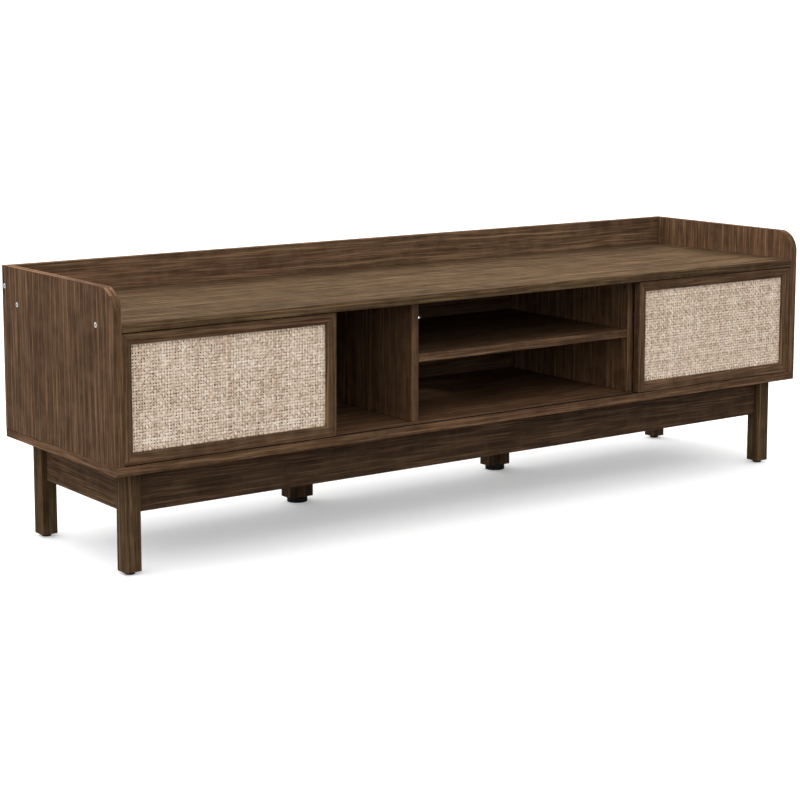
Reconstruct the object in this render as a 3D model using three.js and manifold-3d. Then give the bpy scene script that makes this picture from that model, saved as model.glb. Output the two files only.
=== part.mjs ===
// Low television stand with a gallery edge, three bays and two cane-faced sliding doors.
// Units are millimetres, +Z is up, the doors face -Y.
// The origin is on the floor, under the middle of the cabinet.
import * as THREE from 'three';
import { mergeVertices } from 'three/addons/utils/BufferGeometryUtils.js';
import Module from 'manifold-3d';

const wasm = await Module();
wasm.setup();

// ---------------------------------------------------------------- driving dimensions
const width = 1520;
const depth = 400;
const board = 15;
const seam = 0.3; // gap left between pieces that touch

const openingHeight = 212;
const leftBay = 577;
const middleBay = 489;
const dividerRecess = 28;

const galleryHeight = 55;
const galleryCornerRadius = 40;

const backThickness = 9;
const backOverlap = 1; // of the back panel under the gallery rail
const cableHoleDiameter = 50;

const shelfTop = 119.5;
const shelfEndGap = 1;
const shelfBackGap = 2;
const pinDiameter = 5;
const pinInBore = 8;
const pinProud = 9;
const pinFromEdge = 37;
const pinFit = 0.3;

const legSection = 30;
const legLength = 167;
const legInsetX = 32;
const legInsetY = 34.5;
const legEdgeRadius = 3;
const railHeight = 72;
const railThickness = 15;
const railRecess = 11;

const supportWidth = 50;
const supportDepth = 34;
const supportLeftFromSide = 537;
const supportRightFromSide = 1005;
const supportToRearRail = 11.5; // clear gap in front of the rear rail
const supportGlideDiameter = 38;
const supportGlideHeight = 10;
const legGlideDiameter = 17;
const legGlideHeight = 5;
const glideChamfer = 1;

const doorWidth = 402;
const doorThickness = 15;
const doorSetback = 2;
const doorSideGap = 0.5;
const doorClearance = 1.5; // above and below a door
const frameWidth = 18.5;
const frameFlat = 8.5;
const frameBevelDrop = 4;
const frameLip = 2.5;
const rebateWidth = 7.5;
const canePanelThickness = 4;

const trackWidth = 9;
const trackSlot = 4.2;
const lowerTrackDepth = 7;
const lowerSlotDepth = 5.5;
const upperTrackDepth = 9;
const upperSlotDepth = 7.5;
const trackEndGap = 1;
const runnerLength = 24;
const runnerBodyWidth = 7;
const runnerBodyHeight = 7;
const runnerFromEnd = 40;
const tongueLength = 20;
const tongueFit = 0.4; // each side of the slot
const tongueCornerRadius = 2;
const upperTongueEngagement = 5;

const screwHeadDiameter = 9;
const screwHeadDepth = 2.5;
const screwHeadSunk = 0.2;
const screwShankDiameter = 6;
const screwLength = 40;
const topScrewFromFront = 60;
const topScrewFromRear = 55;
const screwFit = 0.3;

const camDiameter = 12;
const camDepth = 10;
const camBelowTop = 14;
const camFromEdge = 12;
const camFit = 0.3;

const roundSegments = 24;
const smallRoundSegments = 16;
const cornerSegments = 10;
const edgeSegments = 3;

// ---------------------------------------------------------------- derived places
const right = width / 2;
const left = -right;
const rear = depth / 2;
const front = -rear;
const innerLeft = left + board;
const innerRight = right - board;

const underside = legGlideHeight + legLength; // of the bottom panel, above the floor
const bayFloor = underside + board;
const sideHeight = openingHeight + board + galleryHeight;
const topSurface = openingHeight + board;

const leftDividerX = innerLeft + leftBay;
const rightDividerX = leftDividerX + board + middleBay;
const dividerFront = front + dividerRecess;
const backFront = rear - board + backOverlap - backThickness;

const trackY = front + doorSetback + doorThickness / 2;
const doorHeight = openingHeight - 2 * doorClearance;
const leftDoorX = innerLeft + doorSideGap;
const rightDoorX = innerRight - doorSideGap - doorWidth;

// ---------------------------------------------------------------- finishes
const finish = (color, roughness, metalness = 0) =>
  new THREE.MeshStandardMaterial({ color, roughness, metalness });
const finishes = {
  walnut: () => finish(0x6b5040, 0.55),
  walnutEdge: () => finish(0x73563f, 0.55),
  walnutDark: () => finish(0x4a3629, 0.6),
  cane: () => finish(0xcab49c, 0.8),
  plastic: () => finish(0x1b1a19, 0.5),
  steel: () => finish(0xd9d8d4, 0.35, 0.8),
};

// ---------------------------------------------------------------- geometry helpers
const turnToX = new THREE.Matrix4().makeBasis(
  new THREE.Vector3(0, 1, 0),
  new THREE.Vector3(0, 0, 1),
  new THREE.Vector3(1, 0, 0),
); // a shape drawn in (Y, Z) is extruded along X

const turnToY = new THREE.Matrix4().makeBasis(
  new THREE.Vector3(1, 0, 0),
  new THREE.Vector3(0, 0, 1),
  new THREE.Vector3(0, -1, 0),
); // a shape drawn in (X, Z) is extruded along -Y

/** Turns a closed three.js geometry into a solid that can be cut and joined. */
function solidOf(geometry) {
  geometry.deleteAttribute('normal');
  geometry.deleteAttribute('uv');
  const merged = mergeVertices(geometry, 1e-4);
  return new wasm.Manifold(
    new wasm.Mesh({
      numProp: 3,
      vertProperties: Float32Array.from(merged.attributes.position.array),
      triVerts: Uint32Array.from(merged.index.array),
    }),
  );
}

/** Turns a solid back into a three.js geometry. */
function geometryOf(solid) {
  const { vertProperties, triVerts } = solid.getMesh();
  const geometry = new THREE.BufferGeometry();
  geometry.setAttribute('position', new THREE.BufferAttribute(Float32Array.from(vertProperties), 3));
  geometry.setIndex(new THREE.BufferAttribute(Uint32Array.from(triVerts), 1));
  geometry.computeVertexNormals();
  return geometry;
}

/** Box between two limits on each axis. */
function block([x0, x1], [y0, y1], [z0, z1]) {
  const geometry = new THREE.BoxGeometry(x1 - x0, y1 - y0, z1 - z0);
  geometry.translate((x0 + x1) / 2, (y0 + y1) / 2, (z0 + z1) / 2);
  return solidOf(geometry);
}

/** Prism of an outline drawn in (X, Y), (Y, Z) or (X, Z), between two places along its axis. */
function prism(outline, axis, [from, to]) {
  const geometry = new THREE.ExtrudeGeometry(outline, {
    depth: to - from,
    bevelEnabled: false,
    curveSegments: cornerSegments,
  });
  if (axis === 'x') {
    geometry.applyMatrix4(turnToX);
    geometry.translate(from, 0, 0);
  } else if (axis === 'y') {
    geometry.applyMatrix4(turnToY);
    geometry.translate(0, to, 0);
  } else {
    geometry.translate(0, 0, from);
  }
  return solidOf(geometry);
}

/** Turned piece about the Z axis from a profile of [radius, height] points. */
function turned(profile, segments = smallRoundSegments) {
  const points = profile.map(([radius, height]) => new THREE.Vector2(radius, height));
  return new THREE.LatheGeometry(points, segments).rotateX(Math.PI / 2);
}

/** Round bar along X or Y through a point, between two places on its axis. */
function rod(axis, radius, [from, to], [x, y, z], segments = smallRoundSegments) {
  const geometry = new THREE.CylinderGeometry(radius, radius, to - from, segments);
  const middle = (from + to) / 2;
  if (axis === 'x') {
    geometry.rotateZ(-Math.PI / 2);
    geometry.translate(middle, y, z);
  } else {
    geometry.translate(x, middle, z);
  }
  return solidOf(geometry);
}

/** Outline through [x, y] points, closed by straight sides. */
function polygon(points) {
  return new THREE.Shape(points.map(([x, y]) => new THREE.Vector2(x, y)));
}

/** Rectangle about the origin with rounded corners. */
function roundedRectangle(sizeX, sizeY, radius) {
  const x = sizeX / 2;
  const y = sizeY / 2;
  const shape = new THREE.Shape();
  shape.moveTo(x, -y + radius);
  shape.lineTo(x, y - radius);
  shape.absarc(x - radius, y - radius, radius, 0, Math.PI / 2);
  shape.lineTo(-x + radius, y);
  shape.absarc(-x + radius, y - radius, radius, Math.PI / 2, Math.PI);
  shape.lineTo(-x, -y + radius);
  shape.absarc(-x + radius, -y + radius, radius, Math.PI, 1.5 * Math.PI);
  shape.lineTo(x - radius, -y);
  shape.absarc(x - radius, -y + radius, radius, 1.5 * Math.PI, 2 * Math.PI);
  return shape;
}

/** Subtracts every cutter from a solid. */
const cut = (solid, ...cutters) => cutters.reduce((rest, cutter) => rest.subtract(cutter), solid);

/** Adds a named piece to a group; a solid is turned into a geometry first. */
function addPiece(group, name, shape, material, place = [0, 0, 0], turnY = 0) {
  const geometry = shape.isBufferGeometry ? shape : geometryOf(shape);
  const mesh = new THREE.Mesh(geometry, material);
  mesh.name = name;
  mesh.position.set(...place);
  mesh.rotation.y = turnY;
  group.add(mesh);
  return mesh;
}

// ---------------------------------------------------------------- groups
const stand = new THREE.Group();
const carcass = new THREE.Group(); // its Z = 0 is the floor of the bays
carcass.position.set(0, 0, bayFloor);
stand.add(carcass);
const base = new THREE.Group(); // its Z = 0 is the floor of the room
stand.add(base);

// ---------------------------------------------------------------- screws through the sides
const screwPlaces = [
  { name: 'top_front', y: front + topScrewFromFront, z: openingHeight + board / 2 },
  { name: 'top_rear', y: rear - topScrewFromRear, z: openingHeight + board / 2 },
  { name: 'gallery', y: rear - board / 2, z: (openingHeight + sideHeight) / 2 },
];
const screwSides = [
  { name: 'left', face: left, inward: 1 },
  { name: 'right', face: right, inward: -1 },
];
const sorted = (a, b) => [Math.min(a, b), Math.max(a, b)];

/** Stepped bore that takes every screw through one side of the cabinet. */
function screwBores({ face, inward }) {
  return screwPlaces.flatMap(({ y, z }) => {
    const headEnd = face + inward * (screwHeadSunk + screwHeadDepth + screwFit);
    const shankEnd = face + inward * (screwHeadSunk + screwLength + screwFit);
    const start = face - inward;
    return [
      rod('x', screwHeadDiameter / 2 + screwFit, sorted(start, headEnd), [0, y, z]),
      rod('x', screwShankDiameter / 2 + screwFit, sorted(start, shankEnd), [0, y, z]),
    ];
  });
}

/** One screw with its head at Z = 0 and its shank along +Z. */
function screwGeometry() {
  const head = screwHeadDiameter / 2;
  const shank = screwShankDiameter / 2;
  const tip = shank * 0.4;
  return turned([
    [0, 0],
    [head, 0],
    [head, screwHeadDepth],
    [shank, screwHeadDepth],
    [shank, screwLength - shank],
    [tip, screwLength],
    [0, screwLength],
  ]);
}

for (const side of screwSides) {
  for (const { name, y, z } of screwPlaces) {
    const place = [side.face + side.inward * screwHeadSunk, y, z];
    const turn = (side.inward * Math.PI) / 2;
    const screwName = `${name}_screw_${side.name}`;
    addPiece(carcass, screwName, screwGeometry(), finishes.steel(), place, turn);
  }
}

// ---------------------------------------------------------------- cabinet boards
/** Side panel outline in (Y, Z) with a rounded upper front corner. */
function sideOutline() {
  const radius = galleryCornerRadius;
  const shape = new THREE.Shape();
  shape.moveTo(front, seam);
  shape.lineTo(rear, seam);
  shape.lineTo(rear, sideHeight);
  shape.lineTo(front + radius, sideHeight);
  shape.absarc(front + radius, sideHeight - radius, radius, Math.PI / 2, Math.PI);
  return shape;
}

const leftSide = prism(sideOutline(), 'x', [left, innerLeft]);
const rightSide = prism(sideOutline(), 'x', [innerRight, right]);
const leftBores = screwBores(screwSides[0]);
const rightBores = screwBores(screwSides[1]);
addPiece(carcass, 'side_panel_left', cut(leftSide, ...leftBores), finishes.walnut());
addPiece(carcass, 'side_panel_right', cut(rightSide, ...rightBores), finishes.walnut());

const betweenSides = [innerLeft + seam, innerRight - seam];
const trackSpan = [innerLeft + trackEndGap, innerRight - trackEndGap];
const grooveSpan = [trackSpan[0] - seam, trackSpan[1] + seam];
const grooveY = [trackY - trackWidth / 2 - seam, trackY + trackWidth / 2 + seam];

const bottomBoard = block([left, right], [front, rear], [-board, 0]);
const lowerGroove = block(grooveSpan, grooveY, [-lowerTrackDepth - seam, board]);
addPiece(carcass, 'bottom_panel', cut(bottomBoard, lowerGroove), finishes.walnutEdge());

const topBoard = block(betweenSides, [front, rear - board - seam], [openingHeight, topSurface]);
const upperGrooveZ = [openingHeight - board, openingHeight + upperTrackDepth + seam];
const upperGroove = block(grooveSpan, grooveY, upperGrooveZ);
const topPanel = cut(topBoard, upperGroove, ...leftBores, ...rightBores);
addPiece(carcass, 'top_panel', topPanel, finishes.walnutEdge());

// The gallery rail stands behind the top panel and rises above it.
const galleryBoard = block(betweenSides, [rear - board, rear], [openingHeight, sideHeight]);
addPiece(carcass, 'gallery_rail', cut(galleryBoard, ...leftBores, ...rightBores), finishes.walnutEdge());

// ---------------------------------------------------------------- back panel
const bays = [
  [innerLeft, leftDividerX],
  [leftDividerX + board, rightDividerX],
  [rightDividerX + board, innerRight],
];
const backY = [backFront, backFront + backThickness];
const backBoard = block(betweenSides, backY, [seam, openingHeight - seam]);
const cableHoles = bays.map(([from, to]) => {
  const centre = [(from + to) / 2, 0, openingHeight / 2];
  return rod('y', cableHoleDiameter / 2, [backY[0] - board, backY[1] + board], centre, roundSegments);
});
addPiece(carcass, 'back_panel', cut(backBoard, ...cableHoles), finishes.walnutDark());

// ---------------------------------------------------------------- dividers, cams, shelf and pins
const shelfBottom = shelfTop - board;
const shelfY = [dividerFront, backFront - shelfBackGap];
const pinZ = shelfBottom - seam - pinDiameter / 2;
const pinRows = [
  { name: 'front', y: shelfY[0] + pinFromEdge },
  { name: 'rear', y: shelfY[1] - pinFromEdge },
];
const camZ = openingHeight - camBelowTop;
const camRows = [
  { name: 'front', y: dividerFront + camFromEdge },
  { name: 'rear', y: backFront - camFromEdge },
];
const dividers = [
  { name: 'left', x: leftDividerX, face: leftDividerX + board, outward: 1 },
  { name: 'right', x: rightDividerX, face: rightDividerX, outward: -1 },
];

for (const { name, x, face, outward } of dividers) {
  const dividerY = [dividerFront, backFront - seam];
  const dividerBoard = block([x, x + board], dividerY, [seam, openingHeight - seam]);
  const pinBore = sorted(face + outward, face - outward * (pinInBore + seam));
  const camBore = sorted(face + outward, face - outward * (camDepth + seam));
  const cutters = [];
  for (const row of pinRows) {
    cutters.push(rod('x', pinDiameter / 2 + pinFit, pinBore, [0, row.y, pinZ]));
    const pin = sorted(face - outward * pinInBore, face + outward * pinProud);
    const pinSolid = rod('x', pinDiameter / 2, pin, [0, row.y, pinZ]);
    addPiece(carcass, `shelf_pin_${name}_${row.name}`, pinSolid, finishes.steel());
  }
  for (const row of camRows) {
    cutters.push(rod('x', camDiameter / 2 + camFit, camBore, [0, row.y, camZ]));
    const cam = sorted(face, face - outward * camDepth);
    const camSolid = rod('x', camDiameter / 2, cam, [0, row.y, camZ]);
    addPiece(carcass, `cam_${name}_${row.name}`, camSolid, finishes.steel());
  }
  addPiece(carcass, `divider_${name}`, cut(dividerBoard, ...cutters), finishes.walnut());
}

const shelfX = [leftDividerX + board + shelfEndGap, rightDividerX - shelfEndGap];
const shelf = block(shelfX, shelfY, [shelfBottom, shelfTop]);
addPiece(carcass, 'middle_shelf', shelf, finishes.walnutEdge());

// ---------------------------------------------------------------- door tracks
/** Channel along X with its slot opening at Z = 0 towards +Z. */
function trackSolid(bodyDepth, slotDepth) {
  const outer = trackWidth / 2;
  const slot = trackSlot / 2;
  const outline = polygon([
    [-outer, -bodyDepth],
    [outer, -bodyDepth],
    [outer, 0],
    [slot, 0],
    [slot, -slotDepth],
    [-slot, -slotDepth],
    [-slot, 0],
    [-outer, 0],
  ]);
  return prism(outline, 'x', trackSpan);
}

const lowerTrack = trackSolid(lowerTrackDepth, lowerSlotDepth).translate([0, trackY, 0]);
addPiece(carcass, 'lower_track', lowerTrack, finishes.plastic());
const upperTrack = trackSolid(upperTrackDepth, upperSlotDepth)
  .rotate([180, 0, 0])
  .translate([0, trackY, openingHeight]);
addPiece(carcass, 'upper_track', upperTrack, finishes.plastic());

// ---------------------------------------------------------------- sliding doors
const runnerCentres = [runnerFromEnd, doorWidth - runnerFromEnd];
const runnerY = doorThickness / 2;
const around = (centre, size) => [centre - size / 2, centre + size / 2];

/** Mitred frame member along X: outer edge at Z = 0, front face at Y = 0. */
function frameMember(length, mortised) {
  const rebateFrom = frameWidth - rebateWidth;
  const lipBack = frameBevelDrop + frameLip;
  const section = polygon([
    [0, 0],
    [doorThickness, 0],
    [doorThickness, rebateFrom],
    [lipBack, rebateFrom],
    [lipBack, frameWidth],
    [frameBevelDrop, frameWidth],
    [0, frameFlat],
  ]);
  const mitreGap = (seam / 2) * Math.SQRT2;
  const mitred = polygon([
    [mitreGap, 0],
    [length - mitreGap, 0],
    [length - frameWidth - mitreGap, frameWidth],
    [frameWidth + mitreGap, frameWidth],
  ]);
  const bar = prism(section, 'x', [0, length]);
  const member = bar.intersect(prism(mitred, 'y', [-1, doorThickness + 1]));
  if (!mortised) {
    return member;
  }
  const mortises = runnerCentres.map((x) =>
    block(around(x, runnerLength), around(runnerY, runnerBodyWidth), [-1, runnerBodyHeight]),
  );
  return cut(member, ...mortises);
}

/** Nylon shoe housed in a door rail, with a tongue that runs in the track slot below it. */
function runner(tongueDrop) {
  const body = block(
    around(0, runnerLength - 2 * seam),
    around(0, runnerBodyWidth - 2 * seam),
    [0, runnerBodyHeight - seam],
  );
  const half = tongueLength / 2;
  const radius = tongueCornerRadius;
  const outline = new THREE.Shape();
  outline.moveTo(-half, 1);
  outline.lineTo(-half, -tongueDrop + radius);
  outline.absarc(-half + radius, -tongueDrop + radius, radius, Math.PI, 1.5 * Math.PI);
  outline.lineTo(half - radius, -tongueDrop);
  outline.absarc(half - radius, -tongueDrop + radius, radius, 1.5 * Math.PI, 2 * Math.PI);
  outline.lineTo(half, 1);
  return body.add(prism(outline, 'y', around(0, trackSlot - 2 * tongueFit)));
}

/** Adds one whole door; its group stands at the door's lower left front corner. */
function addDoor(side, x) {
  const door = new THREE.Group();
  door.position.set(x, front + doorSetback, doorClearance);
  carcass.add(door);
  const quarter = Math.PI / 2;
  const rail = () => frameMember(doorWidth, true);
  const stile = () => frameMember(doorHeight, false);
  addPiece(door, `${side}_door_bottom_rail`, rail(), finishes.walnutEdge());
  addPiece(door, `${side}_door_top_rail`, rail(), finishes.walnutEdge(), [doorWidth, 0, doorHeight], Math.PI);
  addPiece(door, `${side}_door_left_stile`, stile(), finishes.walnut(), [0, 0, doorHeight], quarter);
  addPiece(door, `${side}_door_right_stile`, stile(), finishes.walnut(), [doorWidth, 0, 0], -quarter);

  const edge = frameWidth - rebateWidth + seam;
  const paneY = frameBevelDrop + frameLip + seam;
  const pane = block([edge, doorWidth - edge], [paneY, paneY + canePanelThickness], [edge, doorHeight - edge]);
  addPiece(door, `${side}_door_cane_panel`, pane, finishes.cane());

  const lowerDrop = doorClearance + lowerSlotDepth - seam;
  const upperDrop = doorClearance + upperTongueEngagement;
  const ends = ['left', 'right'];
  runnerCentres.forEach((centre, index) => {
    const end = ends[index];
    addPiece(door, `${side}_door_runner_${end}`, runner(lowerDrop), finishes.plastic(), [centre, runnerY, 0]);
    const guidePlace = [centre, runnerY, doorHeight];
    addPiece(door, `${side}_door_guide_${end}`, runner(upperDrop), finishes.plastic(), guidePlace, Math.PI);
  });
}

addDoor('left', leftDoorX);
addDoor('right', rightDoorX);

// ---------------------------------------------------------------- base
/** Glide with a chamfered lower edge, standing on Z = 0. */
function glide(diameter, height) {
  const radius = diameter / 2;
  return turned(
    [
      [0, 0],
      [radius - glideChamfer, 0],
      [radius, glideChamfer],
      [radius, height],
      [0, height],
    ],
    roundSegments,
  );
}

const legCentreX = right - legInsetX - legSection / 2;
const legCentreY = rear - legInsetY - legSection / 2;
const legPlaces = [
  { name: 'front_left', x: -legCentreX, y: -legCentreY },
  { name: 'front_right', x: legCentreX, y: -legCentreY },
  { name: 'rear_left', x: -legCentreX, y: legCentreY },
  { name: 'rear_right', x: legCentreX, y: legCentreY },
];
for (const { name, x, y } of legPlaces) {
  const outline = roundedRectangle(legSection, legSection, legEdgeRadius);
  const leg = prism(outline, 'z', [legGlideHeight + seam, underside - seam]);
  addPiece(base, `leg_${name}`, leg, finishes.walnut(), [x, y, 0]);
  addPiece(base, `glide_${name}`, glide(legGlideDiameter, legGlideHeight), finishes.plastic(), [x, y, 0]);
}

const railZ = [underside - railHeight, underside - seam];
const railOuterX = right - legInsetX - railRecess;
const railOuterY = rear - legInsetY - railRecess;
const longRailX = [-legCentreX + legSection / 2 + seam, legCentreX - legSection / 2 - seam];
const sideRailY = [-legCentreY + legSection / 2 + seam, legCentreY - legSection / 2 - seam];
const rails = [
  { name: 'front_rail', x: longRailX, y: [-railOuterY, -railOuterY + railThickness] },
  { name: 'rear_rail', x: longRailX, y: [railOuterY - railThickness, railOuterY] },
  { name: 'side_rail_left', x: [-railOuterX, -railOuterX + railThickness], y: sideRailY },
  { name: 'side_rail_right', x: [railOuterX - railThickness, railOuterX], y: sideRailY },
];
for (const { name, x, y } of rails) {
  addPiece(base, name, block(x, y, railZ), finishes.walnutDark());
}

const supportPlaces = [
  { name: 'left', x: left + supportLeftFromSide },
  { name: 'right', x: left + supportRightFromSide },
];
const supportY = railOuterY - railThickness - supportToRearRail - supportDepth / 2;
for (const { name, x } of supportPlaces) {
  const outline = roundedRectangle(supportWidth, supportDepth, legEdgeRadius);
  const post = prism(outline, 'z', [supportGlideHeight + seam, underside - seam]);
  const place = [x, supportY, 0];
  addPiece(base, `centre_support_${name}`, post, finishes.walnutDark(), place);
  const foot = glide(supportGlideDiameter, supportGlideHeight);
  addPiece(base, `centre_glide_${name}`, foot, finishes.plastic(), place);
}

export default stand;
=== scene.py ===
"""A low walnut-laminate television stand with two cane-faced sliding doors, in a plain studio.

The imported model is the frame: metres, +Z up, the doors face -Y and the floor is at Z = 0.
"""

import itertools
import logging
import math
import random
from dataclasses import dataclass, field
from enum import Enum
from typing import Callable, Iterable, Sequence

import bmesh
import bpy
from mathutils import Matrix, Vector, noise


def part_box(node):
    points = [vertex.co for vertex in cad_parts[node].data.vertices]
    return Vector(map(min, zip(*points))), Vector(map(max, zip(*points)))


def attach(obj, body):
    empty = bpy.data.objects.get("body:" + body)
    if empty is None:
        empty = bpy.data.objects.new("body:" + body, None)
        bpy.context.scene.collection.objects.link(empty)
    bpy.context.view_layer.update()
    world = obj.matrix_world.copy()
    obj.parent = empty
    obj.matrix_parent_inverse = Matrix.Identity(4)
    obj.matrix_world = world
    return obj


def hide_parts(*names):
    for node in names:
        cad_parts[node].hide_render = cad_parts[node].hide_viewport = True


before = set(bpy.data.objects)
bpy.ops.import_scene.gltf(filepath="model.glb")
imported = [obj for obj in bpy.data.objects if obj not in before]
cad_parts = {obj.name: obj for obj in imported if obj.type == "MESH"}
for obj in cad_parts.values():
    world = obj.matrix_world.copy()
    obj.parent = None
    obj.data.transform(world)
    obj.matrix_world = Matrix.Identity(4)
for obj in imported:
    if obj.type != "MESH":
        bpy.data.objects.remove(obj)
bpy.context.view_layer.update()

LOG = logging.getLogger("television_stand")
MM = 0.001
GRAIN_MAP = "grain"
EDGE_MARK = "eased_edge"
STRAND_MARK = "strand_tone"
WELD_DISTANCE = 0.001 * MM
SLIVER_WIDTH = 0.01 * MM
FLAT_ANGLE = math.radians(0.5)
CORNER_ANGLE = math.radians(30)

Colour = tuple[float, float, float, float]
Tone = tuple[int, int, int]
Socket = bpy.types.NodeSocket
Mesh = bmesh.types.BMesh
Edge = bmesh.types.BMEdge


# ------------------------------------------------------------------ choices
class Body(Enum):
    """The parts of the stand that move on their own."""

    CARCASS = "carcass"
    LEFT_DOOR = "left_door"
    RIGHT_DOOR = "right_door"


class Slot(Enum):
    """The record's material slots."""

    UPRIGHT = "walnut_upright"
    BOARD = "walnut_board"
    BASE = "walnut_base"
    BACK = "walnut_back"
    CANE = "cane"
    PLASTIC = "black_plastic"
    STEEL = "fitting_steel"


class Grain(Enum):
    """The way the wood grain runs on a board."""

    ALONG_X = (1.0, 0.0, 0.0)
    ALONG_Y = (0.0, 1.0, 0.0)
    ALONG_Z = (0.0, 0.0, 1.0)


class Drive(Enum):
    """The recess that a driver fits, by its number of corners."""

    HEXAGON = 6
    CROSS = 12


# ------------------------------------------------------------------ shader wiring
def screen_colour(red: int, green: int, blue: int) -> Colour:
    """Turns a colour as a screen shows it, 0 to 255, into the linear colour that a shader takes.

    Args:
        red: Red, 0 to 255.
        green: Green, 0 to 255.
        blue: Blue, 0 to 255.

    Returns:
        The linear colour with full alpha.
    """

    def linear(value: int) -> float:
        """Undoes the screen's curve for one channel."""
        part = value / 255
        return part / 12.92 if part <= 0.04045 else ((part + 0.055) / 1.055) ** 2.4

    return linear(red), linear(green), linear(blue), 1.0


class Wiring:
    """Adds nodes to one shader tree and joins them."""

    def __init__(self, tree: bpy.types.NodeTree) -> None:
        """Starts wiring in a tree.

        Args:
            tree: The material's tree or the node group.
        """
        self.tree = tree

    def add(self, kind: str, sockets: dict | None = None, **settings: object) -> bpy.types.Node:
        """Adds one node.

        Args:
            kind: The node's type name.
            sockets: Values or output sockets for its inputs, by name or number.
            **settings: Properties of the node.

        Returns:
            The node.
        """
        node = self.tree.nodes.new(kind)
        for name, value in settings.items():
            setattr(node, name, value)
        for name, value in (sockets or {}).items():
            self.feed(node.inputs[name], value)
        return node

    def feed(self, socket: Socket, value: object) -> None:
        """Joins an output to an input, or sets the input's own value.

        Args:
            socket: The input.
            value: An output socket, or the value that the input takes.
        """
        if isinstance(value, Socket):
            self.tree.links.new(value, socket)
        else:
            socket.default_value = value

    def math(self, operation: str, *values: object, clamp: bool = False) -> Socket:
        """Adds a Math node.

        Args:
            operation: What it works out, such as ADD.
            *values: Its inputs in order.
            clamp: Whether the result is kept between 0 and 1.

        Returns:
            The result.
        """
        sockets = dict(enumerate(values))
        return self.add("ShaderNodeMath", sockets, operation=operation, use_clamp=clamp).outputs[0]

    def times(self, value: object, factor: object, clamp: bool = False) -> Socket:
        """Multiplies two values."""
        return self.math("MULTIPLY", value, factor, clamp=clamp)

    def minus(self, value: object, taken: object, clamp: bool = False) -> Socket:
        """Takes one value from another."""
        return self.math("SUBTRACT", value, taken, clamp=clamp)

    def add_share(self, value: object, share: object, base: object, clamp: bool = False) -> Socket:
        """Adds a share of a value to a base."""
        return self.math("MULTIPLY_ADD", value, share, base, clamp=clamp)

    def vector(self, x: object, y: object, z: object = 0.0) -> Socket:
        """Joins three values into a vector."""
        return self.add("ShaderNodeCombineXYZ", {0: x, 1: y, 2: z}).outputs[0]

    def split(self, vector: object) -> tuple[Socket, Socket, Socket]:
        """Splits a vector into its three values."""
        return tuple(self.add("ShaderNodeSeparateXYZ", {0: vector}).outputs)

    def object_place(self) -> Socket:
        """Gives the place on the piece, in metres."""
        return self.add("ShaderNodeTexCoord").outputs["Object"]

    def noise(self, place: object, scale: float, detail: float) -> Socket:
        """Adds a noise texture and returns its grey value.

        Args:
            place: Where the noise is read.
            scale: Its changes per unit of place.
            detail: Its finer octaves.

        Returns:
            The value, mostly between 0.2 and 0.8.
        """
        sockets = {"Vector": place, "Scale": scale, "Detail": detail, "Roughness": 0.55}
        return self.add("ShaderNodeTexNoise", sockets, noise_dimensions="3D").outputs["Fac"]

    def span(
        self, value: object, low: float, high: float, to_low: float = 0.0, to_high: float = 1.0
    ) -> Socket:
        """Stretches a value from one range to another, with a soft start and stop.

        Args:
            value: The value.
            low: Where it starts.
            high: Where it stops.
            to_low: The result at the start.
            to_high: The result at the stop.

        Returns:
            The stretched value.
        """
        sockets = {"Value": value, "From Min": low, "From Max": high}
        sockets |= {"To Min": to_low, "To Max": to_high}
        node = self.add("ShaderNodeMapRange", sockets, interpolation_type="SMOOTHSTEP")
        return node.outputs[0]

    def mix(self, share: object, first: object, second: object, blend: str = "MIX") -> Socket:
        """Mixes two colours and returns the result."""
        sockets = {0: share, 6: first, 7: second}
        return self.add("ShaderNodeMix", sockets, data_type="RGBA", blend_type=blend).outputs[2]

    def three_tones(self, level: Socket, low: object, middle: object, high: object) -> Socket:
        """Runs through three colours as a level goes from 0 to 1.

        Args:
            level: The level.
            low: The colour at 0.
            middle: The colour at 0.5.
            high: The colour at 1.

        Returns:
            The colour.
        """
        lower = self.mix(self.times(level, 2.0, clamp=True), low, middle)
        upper_share = self.minus(self.times(level, 2.0), 1.0, clamp=True)
        return self.mix(upper_share, lower, high)


def new_group(
    name: str, takes: dict[str, object], gives: dict[str, str]
) -> tuple[bpy.types.NodeTree, Wiring]:
    """Makes an empty shader group with its sockets.

    Args:
        name: The group's name.
        takes: Input names and their starting values: a number, a colour, or None for a vector.
        gives: Output names and their socket types.

    Returns:
        The group and the wiring to fill it with.
    """
    group = bpy.data.node_groups.new(name, "ShaderNodeTree")
    for label, value in takes.items():
        kind = "Vector" if value is None else "Float" if isinstance(value, float) else "Color"
        socket = group.interface.new_socket(label, in_out="INPUT", socket_type="NodeSocket" + kind)
        if value is not None:
            socket.default_value = value
    for label, kind in gives.items():
        group.interface.new_socket(label, in_out="OUTPUT", socket_type="NodeSocket" + kind)
    return group, Wiring(group)


@dataclass(frozen=True)
class Streaks:
    """One layer of noise drawn out along the grain.

    It changes so many times per metre along and across the grain, and its depth keeps it in its
    own part of the noise. From low to high it is stretched to run from 0 to 1, or the other way
    where low is the greater. Its weight is how much it adds, in tone or in metres sideways.
    """

    along: float
    across: float
    depth: float
    low: float = 0.0
    high: float = 1.0
    detail: float = 2.0
    weight: float = 1.0


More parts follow.
